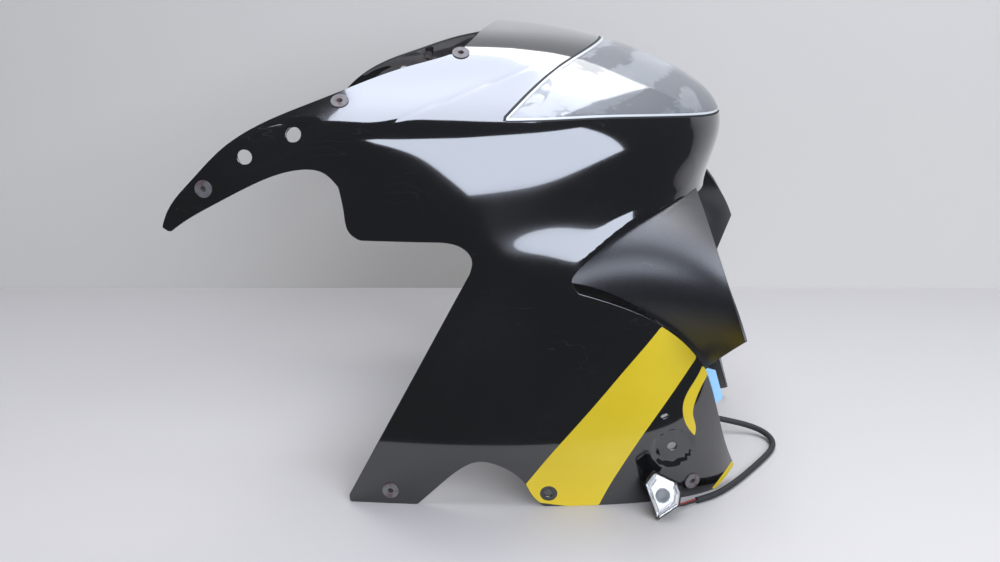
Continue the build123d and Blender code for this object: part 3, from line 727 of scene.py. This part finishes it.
@dataclass
class TrimmedSheet:
    """A piece of the skin's wall, trimmed by a field of the side view.

    The sheet is a net of triangles over the skin, cut where the field changes sign. Its inner
    face is the outer one pushed in along the normals, and a rounded rim joins the two.

    Args:
        name: The piece's name.
        field: Gives the signed distance to the piece's edge at X, Z rows, negative inside.
        lift: How far the outer face stands off the skin, in millimetres.
        wall: The wall's thickness in millimetres.
        step: Size of the net's cells in millimetres.
        side: 1 for the right side only, -1 for the left, 0 for both.
        relief: Whether the skin's relief is followed.
        rim: How far the rounded rim stands out.
    """

    name: str
    field: Callable[[Array], Array]
    lift: float = 0.0
    wall: float = 3.0
    step: float = 3.0
    side: int = 0
    relief: bool = True
    rim: float = 0.7

    def surface(self, up: Array, along: Array) -> Array:
        """The outer face's points, with the lift and the relief."""
        point, normal = skin_point(up, along)
        raised = self.lift + (RELIEF.offset(point[:, [0, 2]]) if self.relief else 0)
        return point + normal * np.broadcast_to(raised, len(point))[:, None]

    def span(self) -> tuple[float, float, float, float]:
        """The part of the net that the field covers, from a coarse look."""
        up, along = np.meshgrid(np.linspace(0, SKIN.rows - 1, 150),
                                np.linspace(0, SKIN.columns - 1, 150), indexing="ij")
        point, _ = skin_point(up.ravel(), along.ravel())
        inside = self.field(point[:, [0, 2]]) < 6
        rows, columns = up.ravel()[inside], along.ravel()[inside]
        margin = 0.15
        return (max(0, rows.min() - margin), min(SKIN.rows - 1, rows.max() + margin),
                max(0, columns.min() - margin), min(SKIN.columns - 1, columns.max() + margin))

    def net(self) -> tuple[Array, Array, Array]:
        """The trimmed triangles in the skin's own two coordinates.

        Returns:
            The up and along place of each vertex, and the triangles.
        """
        low, high, near, far = self.span()
        across = np.linalg.norm(np.diff(NET, axis=0), axis=2).mean()
        length = np.linalg.norm(np.diff(NET, axis=1), axis=2).mean()
        rows = int((high - low) * across / self.step) + 2
        columns = int((far - near) * length / self.step) + 2
        u, v = np.linspace(low, high, rows), np.linspace(near, far, columns)
        if self.side == 0:
            v = np.concatenate([-v[:0:-1], v]) if near == 0 else v
        if self.side < 0:
            v = -v[::-1]
        up, along = (a.ravel() for a in np.meshgrid(u, v, indexing="ij"))
        index = np.arange(len(up)).reshape(len(u), len(v))
        a, b, c, d = index[:-1, :-1], index[:-1, 1:], index[1:, 1:], index[1:, :-1]
        triangles = np.concatenate([np.stack([a, c, b], -1), np.stack([a, d, c], -1)]).reshape(-1, 3)
        value = self.field(skin_point(up, along)[0][:, [0, 2]])
        return self.clip(up, along, triangles, value)

    def clip(self, up: Array, along: Array, triangles: Array, value: Array) -> tuple[Array, Array, Array]:
        """Keeps the part of each triangle where the field is negative.

        A triangle with one corner inside keeps its tip, and one with two keeps the rest as two
        triangles. New corners lie where the field, taken as straight along the side, is zero.
        """
        inside = value < 0
        count = inside[triangles].sum(1)
        kept = [triangles[count == 3]]
        pairs: list[Array] = []
        shapes: list[tuple[str, Array]] = []
        for wanted, odd in ((1, True), (2, False)):
            cut = triangles[count == wanted]
            first = (inside[cut] == odd).argmax(1)
            cut = cut[np.arange(len(cut))[:, None], (first[:, None] + np.arange(3)) % 3]
            pairs += [cut[:, [0, 1]], cut[:, [0, 2]]]
            shapes.append(("tip" if odd else "rest", cut))
        every = np.sort(np.concatenate(pairs), axis=1)
        sides, where = np.unique(every, axis=0, return_inverse=True)
        where = where.ravel() + len(up)
        share = value[sides[:, 0]] / (value[sides[:, 0]] - value[sides[:, 1]])
        share = np.clip(share, 0.02, 0.98)
        new_up = up[sides[:, 0]] + share * (up[sides[:, 1]] - up[sides[:, 0]])
        new_along = along[sides[:, 0]] + share * (along[sides[:, 1]] - along[sides[:, 0]])
        start = 0
        for kind, cut in shapes:
            n = len(cut)
            ab, ac = where[start:start + n], where[start + n:start + 2 * n]
            start += 2 * n
            if kind == "tip":
                kept.append(np.stack([cut[:, 0], ab, ac], -1))
            else:
                kept.append(np.stack([ab, cut[:, 1], cut[:, 2]], -1))
                kept.append(np.stack([ab, cut[:, 2], ac], -1))
        faces = np.concatenate(kept)
        used, faces = np.unique(faces, return_inverse=True)
        return (np.concatenate([up, new_up])[used], np.concatenate([along, new_along])[used],
                faces.reshape(-1, 3))

    def build(self) -> bpy.types.Object:
        """Makes the closed sheet with smooth normals.

        Returns:
            The object, at the origin.
        """
        up, along, faces = self.net()
        outer = self.surface(up, along)
        nudge = 0.01
        top = np.minimum(up + nudge, SKIN.rows - 1)
        toward_top = self.surface(top, along) - self.surface(up - nudge, along)
        toward_back = self.surface(up, along + nudge) - self.surface(up, along - nudge)
        normal = np.cross(toward_top, toward_back)
        normal /= np.linalg.norm(normal, axis=1)[:, None]
        facing = np.cross(outer[faces[:, 1]] - outer[faces[:, 0]], outer[faces[:, 2]] - outer[faces[:, 0]])
        if (facing * normal[faces[:, 0]]).sum() < 0:
            faces = faces[:, ::-1]
        edge = np.concatenate([faces[:, [0, 1]], faces[:, [1, 2]], faces[:, [2, 0]]])
        ahead, back = edge @ (len(outer), 1), edge @ (1, len(outer))
        rim = edge[~np.isin(back, ahead)]
        run = outer[rim[:, 1]] - outer[rim[:, 0]]
        away = np.zeros_like(outer)
        outward = np.cross(run, normal[rim[:, 0]])
        np.add.at(away, rim[:, 0], outward)
        np.add.at(away, rim[:, 1], outward)
        loop = np.unique(rim)
        away[loop] /= np.maximum(np.linalg.norm(away[loop], axis=1), 1e-9)[:, None]
        return self.assemble(outer, normal, faces, rim, loop, away)

    def assemble(self, outer: Array, normal: Array, faces: Array, rim: Array, loop: Array,
                 away: Array) -> bpy.types.Object:
        """Joins the outer face, the inner face and the rim's rounded rows into one mesh."""
        total = len(outer)
        inner = outer - normal * self.wall
        rows, row_normals, numbers = [outer, inner], [normal, -normal], [np.arange(total)]
        position = np.full(total, -1)
        position[loop] = np.arange(len(loop))
        start = 2 * total
        for turn in np.radians((40, 90, 140)):
            aim = np.cos(turn) * normal[loop] + np.sin(turn) * away[loop]
            place = (outer[loop] - normal[loop] * self.wall * (1 - np.cos(turn)) / 2
                     + away[loop] * self.rim * np.sin(turn))
            rows.append(place)
            row_normals.append(aim)
            numbers.append(start + position)
            start += len(loop)
        numbers.append(np.arange(total) + total)
        walls = []
        for upper, lower in zip(numbers[:-1], numbers[1:]):
            a, b = rim.T
            walls.append(np.stack([upper[b], upper[a], lower[a], lower[b]], -1))
        quads = np.concatenate(walls)
        solid = np.concatenate([faces, faces[:, ::-1] + total, quads[:, [0, 1, 2]], quads[:, [0, 2, 3]]])
        mesh = mesh_from(self.name, np.concatenate(rows), solid)
        mesh.normals_split_custom_set_from_vertices(np.concatenate(row_normals))
        made = bpy.data.objects.new(self.name, mesh)
        bpy.context.collection.objects.link(made)
        return made


def mesh_from(name: str, points: Array, faces: Array) -> bpy.types.Mesh:
    """A smooth mesh in metres from points in millimetres and triangles or quads.

    Args:
        name: The mesh's name.
        points: X, Y, Z rows in millimetres.
        faces: Vertex numbers, one row per face.

    Returns:
        The mesh.
    """
    mesh = bpy.data.meshes.new(name)
    mesh.vertices.add(len(points))
    mesh.vertices.foreach_set("co", (points * MM).astype(np.float32).ravel())
    corners = faces.shape[1]
    mesh.loops.add(faces.size)
    mesh.loops.foreach_set("vertex_index", faces.astype(np.int32).ravel())
    mesh.polygons.add(len(faces))
    mesh.polygons.foreach_set("loop_start", np.arange(0, faces.size, corners, dtype=np.int32))
    mesh.polygons.foreach_set("use_smooth", np.ones(len(faces), bool))
    mesh.update(calc_edges=True)
    mesh.validate()
    return mesh


def dress(piece: bpy.types.Object, finish: Finish, *stands_for: str) -> bpy.types.Object:
    """Gives a piece its finish, hides the solids that it stands for and fixes it to the body.

    Args:
        piece: The piece.
        finish: Its finish.
        stands_for: CAD nodes that it replaces.

    Returns:
        The piece.
    """
    piece.data.materials.clear()
    piece.data.materials.append(finish.material())
    if stands_for:
        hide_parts(*stands_for)
    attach(piece, "root")
    LOG.info("built %s", piece.name)
    return piece


# Sub-assemblies


@dataclass
class Moulding:
    """The one-piece cowl: nose, cheeks, side panels and windscreen arms."""

    mirror_holes: Points = ((-176, 326), (-134, 346))
    mirror_hole_radius: float = 7.0
    nut_holes: Points = ((-100, 370), (-8, 404), (-213, 298), (-62, 14), (213, 17), (83, 14))
    nut_hole_radius: float = 4.6
    cable_hole_radius: float = 5.0
    locating_hole: tuple[float, float] = (185, 91)
    locating_half: tuple[float, float] = (5, 3)
    locating_angle: float = np.radians(30)
    gasket_gap: float = 2.8
    film_holes: Points = ((83, 14), (213, 17))
    film_hole_radius: float = 8.0
    film_margin: float = 0.2

    def field(self, place: Array) -> Array:
        """Distance to the moulding's edge, the lens opening and the holes taken out."""
        edges = [distance_to_outline(place, SIDE.moulding()),
                 -distance_to_outline(place, SIDE.lens(self.gasket_gap)),
                 self.mirror_hole_radius - self.from_points(place, self.mirror_holes),
                 self.nut_hole_radius - self.from_points(place, self.nut_holes),
                 self.cable_hole_radius - self.from_points(place, (RELIEF.seat_centre,)),
                 self.into_locating_hole(place)]
        return np.max(edges, axis=0)

    def from_points(self, place: Array, points: Points) -> Array:
        """Distance to the nearest of some points."""
        return np.min([np.linalg.norm(place - p, axis=1) for p in points], axis=0)

    def into_locating_hole(self, place: Array) -> Array:
        """Depth inside the slanted oval locating hole above the indicator's seat."""
        x, z = (place - self.locating_hole).T
        long, short = self.locating_half
        c, s = np.cos(self.locating_angle), np.sin(self.locating_angle)
        return (1 - np.hypot((c * x + s * z) / long, (c * z - s * x) / short)) * short

    def build(self) -> None:
        """Makes the cowl and its stripes."""
        dress(TrimmedSheet("cowl_moulding", self.field).build(), GLOSS_BLACK, "cowl_shell")
        for side, label in ((1, "right"), (-1, "left")):
            sheet = TrimmedSheet(f"{label}_stripes", self.stripe_field, lift=0.35, wall=0.3, step=2.0,
                                 side=side, rim=0.05)
            dress(sheet.build(), YELLOW_FILM, f"{label}_stripe_decals")

    def stripe_field(self, place: Array) -> Array:
        """Distance to the edge of the nearest stripe, kept inside the moulding."""
        stripes = np.min([distance_to_outline(place, outline(SIDE.band_rear, SIDE.band_front)),
                          distance_to_outline(place, outline(SIDE.flame_rear, SIDE.flame_front)),
                          distance_to_outline(place, np.array(SIDE.corner_strip, float))], axis=0)
        clear = self.film_hole_radius - self.from_points(place, self.film_holes)
        moulding = distance_to_outline(place, SIDE.moulding()) + self.film_margin
        return np.max([stripes, moulding, clear], axis=0)


@dataclass
class Headlamp:
    """The clear lens and what shows through it."""

    def build(self) -> None:
        """Makes the lens and dresses the lamp's solids."""
        lens = TrimmedSheet("clear_lens", lambda p: distance_to_outline(p, SIDE.lens()), relief=False,
                            rim=0.4)
        dress(lens.build(), CLEAR_LENS, "headlight_lens")
        # A grey band laid on the lens's edge: a painted highlight for its shining cut edge.
        edge = TrimmedSheet("lens_highlight_band", self.highlight_band_field, lift=0.12, wall=2.8, step=1.1, relief=False,
                            rim=0.1)
        dress(edge.build(), PAINTED_LENS_HIGHLIGHT, "headlight_lens")
        finishes = {"lens_gasket": GASKET, "headlight_housing": TUB_PLASTIC, "headlight_bezel": SILVERED,
                    "headlight_reflector": SILVERED, "headlight_bulb": BULB_GLASS, "bulb_boot": GASKET}
        dress_nodes(finishes)

    def highlight_band_field(self, place: Array) -> Array:
        """Distance to a narrow band just inside the lens's edge, where a grey film paints the cut edge's
        shine as a highlight.
        """
        inside = distance_to_outline(place, SIDE.lens(0.3))
        return np.abs(inside + 0.8) - 0.8


@dataclass
class Intakes:
    """The two matte intake panels, bowed between four corners tucked under the cowl."""

    tip: tuple[float, float, float] = (93.0, -179.5, 220.0)
    chin: tuple[float, float, float] = (200.0, -50.5, 285.0)
    foot: tuple[float, float, float] = (219.5, -127.5, 127.5)
    front: tuple[float, float, float] = (247.5, -204.7, 184.7)
    bow_upper: tuple[float, float, float] = (0.0, -15.5, 16.0)
    bow_lower: tuple[float, float, float] = (0.0, -9.0, 21.5)
    bow_mouth: tuple[float, float, float] = (2.0, -27.0, 4.0)
    wall: float = 2.5
    cells: int = 48

    def outer(self) -> Array:
        """The outer face: a blend of four bowed edges, less the blend of the corners."""
        t = np.linspace(0, 1, self.cells)
        tip, chin, foot, front = (np.array(p) for p in (self.tip, self.chin, self.foot, self.front))

        def edge(start: Array, end: Array, bow: Sequence[float]) -> Array:
            """A straight edge plus a parabola of the given bow."""
            return start + (end - start) * t[:, None] + np.array(bow) * (4 * t * (1 - t))[:, None]

        a, b = t[:, None, None], t[None, :, None]
        corners = tip * (1 - a) * (1 - b) + chin * a * (1 - b) + foot * (1 - a) * b + front * a * b
        lengthwise = (edge(tip, chin, self.bow_upper)[:, None] * (1 - b)
                      + edge(foot, front, (0, 0, 0))[:, None] * b)
        crosswise = (edge(tip, foot, self.bow_lower)[None] * (1 - a)
                     + edge(chin, front, self.bow_mouth)[None] * a)
        return lengthwise + crosswise - corners

    def build(self) -> None:
        """Makes both panels with walls and softened edges."""
        face = self.outer()
        inward = np.cross(np.gradient(face, axis=0), np.gradient(face, axis=1))
        inward /= np.linalg.norm(inward, axis=-1)[..., None]
        n = self.cells
        index = np.arange(n * n).reshape(n, n)
        a, b, c, d = index[:-1, :-1], index[1:, :-1], index[1:, 1:], index[:-1, 1:]
        quads = np.stack([a, d, c, b], -1).reshape(-1, 4)
        border = np.concatenate([index[0, :-1], index[:-1, -1], index[-1, :0:-1], index[:0:-1, 0]])
        following = np.roll(border, -1)
        walls = np.stack([border, following, following + n * n, border + n * n], -1)
        both = np.concatenate([quads, quads[:, ::-1] + n * n, walls[:, ::-1]])
        points = np.concatenate([face.reshape(-1, 3), (face + inward * self.wall).reshape(-1, 3)])
        for label, sign in (("right", 1), ("left", -1)):
            faces = both if sign > 0 else both[:, ::-1]
            mesh = mesh_from(f"{label}_intake", points * (1, sign, 1), faces)
            piece = bpy.data.objects.new(f"{label}_intake", mesh)
            bpy.context.collection.objects.link(piece)
            bevel = piece.modifiers.new("softened_edges", "BEVEL")
            bevel.width, bevel.segments, bevel.limit_method = 0.0006, 2, "ANGLE"
            bevel.harden_normals = True
            dress(piece, MATTE_PANEL, f"{label}_intake_panel")


@dataclass
class Cord:
    """A free cord: its route in millimetres, its section and its finish."""

    name: str
    node: str
    route: tuple[tuple[float, float, float], ...]
    diameter: float
    finish: Finish
    stiffness: str
    far_end: str
    length: float
    plug: Optional[str] = None

    def build(self) -> None:
        curve = bpy.data.curves.new(self.name, "CURVE")
        curve.dimensions = "3D"
        curve.bevel_depth = self.diameter / 2 * MM
        curve.bevel_resolution = 5
        curve.resolution_u = 12
        curve.use_fill_caps = True
        line = curve.splines.new("NURBS")
        line.points.add(len(self.route) - 1)
        rows = np.column_stack([np.array(self.route) * MM, np.ones(len(self.route))])
        line.points.foreach_set("co", rows.ravel())
        line.order_u = 3
        line.use_endpoint_u = True
        piece = bpy.data.objects.new(self.name, curve)
        bpy.context.collection.objects.link(piece)
        dress(piece, self.finish, self.node)


@dataclass
class LooseIndicator:
    """The indicator that stands by the right panel, its wires, sleeve and plug."""

    sleeve_route: tuple[tuple[float, float, float], ...] = (
        (218, -147.5, 3), (229, -140, 3), (241, -127, 3), (254, -108, 3), (267, -85, 3), (279, -62, 3),
        (290, -40, 3.2), (296, -22, 3.8), (294, -6, 5), (284, 6, 7), (268, 11, 9.8), (247, 10.5, 13.6),
        (226, 5, 19), (209, -9, 27), (200, -30, 35), (199, -54, 41), (203, -77, 45), (213, -95, 48.5),
        (225, -107, 57), (231.9, -118.8, 74.8), (226.5, -121.5, 92.8))
    red_route: tuple[tuple[float, float, float], ...] = (
        (195.4, -168.1, 7.7), (203.65, -161.5, 4.95), (210.65, -150.9, 3), (217.25, -146.4, 3))
    black_route: tuple[tuple[float, float, float], ...] = (
        (197.0, -170.1, 7.7), (205.25, -163.5, 4.95), (212.15, -153.1, 3), (218.75, -148.6, 3))

    def build(self) -> None:
        """Makes the cords and dresses the indicator's solids."""
        # The indicator's reflector takes the darker copy of the reflector coating as painted shade.
        dress_nodes({"indicator_housing": TUB_PLASTIC, "indicator_lens": LAMP_CLEAR,
                     "indicator_reflector": SHADED_REFLECTOR_SILVER, "indicator_bulb": DARK_BULB,
                     "indicator_stem": NUT_RUBBER, "indicator_connector": BLUE_NYLON})
        Cord("red_wire", "indicator_wire_red", self.red_route, 1.9, RED_COVER, "limp", "object", 31).build()
        Cord("black_wire", "indicator_wire_black", self.black_route, 1.9, BLACK_COVER, "limp", "object",
             31).build()
        Cord("cable_sleeve", "indicator_sleeve", self.sleeve_route, 6.0, SLEEVE, "medium", "connector", 416,
             plug="indicator_connector").build()


def dress_nodes(finishes: dict[str, Finish]) -> None:
    """Gives CAD nodes that stay their finishes."""
    for node, finish in finishes.items():
        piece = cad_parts[node]
        piece.data.materials.clear()
        piece.data.materials.append(finish.material())
        LOG.info("dressed %s", node)


# The room


@dataclass(frozen=True)
class SoftLight:
    """A square soft light that looks at a point."""

    name: str
    place: tuple[float, float, float]
    aim: tuple[float, float, float]
    size: tuple[float, float]
    radiance: float
    colour: tuple[float, float, float] = (1.0, 1.0, 1.0)
    roll: float = 0.0

    def build(self) -> None:
        """Hangs the light."""
        lamp = bpy.data.lights.new(self.name, "AREA")
        lamp.shape = "RECTANGLE"
        lamp.size, lamp.size_y = self.size
        lamp.energy = self.radiance * np.pi * self.size[0] * self.size[1]
        lamp.color = self.colour
        holder = bpy.data.objects.new(self.name, lamp)
        holder.location = self.place
        direction = Vector(self.aim) - Vector(self.place)
        facing = direction.to_track_quat("-Z", "Y")
        holder.rotation_euler = (facing @ Quaternion((0, 0, 1), np.radians(self.roll))).to_euler()
        bpy.context.collection.objects.link(holder)


@dataclass
class Studio:
    """Pale table, pale wall, soft lights and the camera of the photograph."""

    camera_place: tuple[float, float, float] = (0.1862, -1.0992, 0.5279)
    camera_pitch: float = 18.37
    camera_yaw: float = 9.14
    focal_pixels: float = 1133.0
    picture_width: int = 1000
    table_from: float = 0.832
    wall_at: float = 1.558
    table_to: float = 3.4
    lights: tuple[SoftLight, ...] = (
        SoftLight("front_window", (1.34, -2.17, 1.44), (0.1, -0.19, 0.3), (3.1, 1.55), 7.0,
                  (0.78, 0.85, 1.0), 25),
        SoftLight("overhead", (0.2, -0.05, 2.4), (0.2, -0.05, 0), (1.5, 1.5), 7.5, (0.79, 0.85, 1.0)),
        SoftLight("behind_crest", (0.2, 1.15, 2.45), (0.0, -0.1, 0.4), (2.0, 1.0), 7.0))

    def build(self) -> None:
        """Sets the table, wall, lights, world and camera."""
        near, wall, far = (self.across(d) for d in (self.table_from, self.wall_at, self.table_to))
        self.surface("table", (near[0], near[1], far[1], far[0]), (0.50, 0.47, 0.44))
        self.surface("wall", (wall[0], wall[1], wall[1] + (0, 0, 1.2), wall[0] + (0, 0, 1.2)),
                     (0.58, 0.55, 0.50), one_sided=True)
        for light in self.lights:
            light.build()
        world = bpy.data.worlds.new("pale_room")
        world.use_nodes = True
        backing = world.node_tree.nodes["Background"]
        backing.inputs["Color"].default_value = (0.78, 0.80, 0.86, 1)
        backing.inputs["Strength"].default_value = 0.12
        bpy.context.scene.world = world
        camera = bpy.data.cameras.new("photo_camera")
        camera.sensor_width = 36.0
        camera.lens = self.focal_pixels * 36.0 / self.picture_width
        camera.clip_start = 0.02
        holder = bpy.data.objects.new("photo_camera", camera)
        holder.location = self.camera_place
        holder.rotation_euler = np.radians((90 - self.camera_pitch, 0, self.camera_yaw))
        bpy.context.collection.objects.link(holder)
        bpy.context.scene.camera = holder
        bpy.context.scene.view_settings.view_transform = "Standard"

    def across(self, distance: float) -> Array:
        """Two far-apart floor points on a line square to the camera's view.

        Args:
            distance: How far the line is from the camera, measured on the floor.

        Returns:
            The left and the right point.
        """
        turn = np.radians(self.camera_yaw)
        ahead, right = np.array([-np.sin(turn), np.cos(turn)]), np.array([np.cos(turn), np.sin(turn)])
        middle = np.array(self.camera_place[:2]) + ahead * distance
        return np.array([(*(middle + right * reach), 0.0) for reach in (-3.0, 3.0)])

    def surface(self, name: str, corners: Sequence[Array], colour: tuple[float, float, float],
                one_sided: bool = False) -> None:
        """A flat pale surface of the room.

        Args:
            name: Its name.
            corners: Its four corners in metres.
            colour: Its colour.
            one_sided: Whether it is clear when seen from behind.
        """
        mesh = bpy.data.meshes.new(name)
        mesh.from_pydata([Vector(c) for c in corners], [], [(0, 1, 2, 3)])
        made = bpy.data.objects.new(name, mesh)
        bpy.context.collection.objects.link(made)
        paint = bpy.data.materials.new(name)
        paint.use_nodes = True
        tree = NodeTree(paint.node_tree)
        shader = paint.node_tree.nodes["Principled BSDF"]
        shader.inputs["Base Color"].default_value = (*colour, 1)
        place = tree.add("ShaderNodeTexCoord").outputs["Object"]
        cloud = tree.add("ShaderNodeTexNoise", Scale=2.0)
        tone = tree.add("ShaderNodeMapRange", To_Min=0.55, To_Max=0.62)
        tree.join(place, cloud.inputs["Vector"])
        tree.join(cloud.outputs["Fac"], tone.inputs["Value"])
        tree.join(tone.outputs[0], shader.inputs["Roughness"])
        if one_sided:
            clear = tree.add("ShaderNodeBsdfTransparent")
            side = tree.add("ShaderNodeMixShader")
            tree.join(tree.add("ShaderNodeNewGeometry").outputs["Backfacing"], side.inputs[0])
            tree.join(shader.outputs[0], side.inputs[1])
            tree.join(clear.outputs[0], side.inputs[2])
            tree.join(side.outputs[0], paint.node_tree.nodes["Material Output"].inputs["Surface"])
        mesh.materials.append(paint)


def main() -> None:
    """Builds the groups, the sub-assemblies and the room."""
    logging.basicConfig(level=logging.INFO, format="%(name)s: %(message)s")
    for group in (dust_group, scratch_group, grain_group):
        group()
    Moulding().build()
    Headlamp().build()
    Intakes().build()
    dress_nodes({"windscreen_well_nuts": NUT_RUBBER, "stay_eyelets": NUT_RUBBER, "panel_eyelets": NUT_RUBBER})
    LooseIndicator().build()
    Studio().build()


if __name__ == "__main__":
    main()
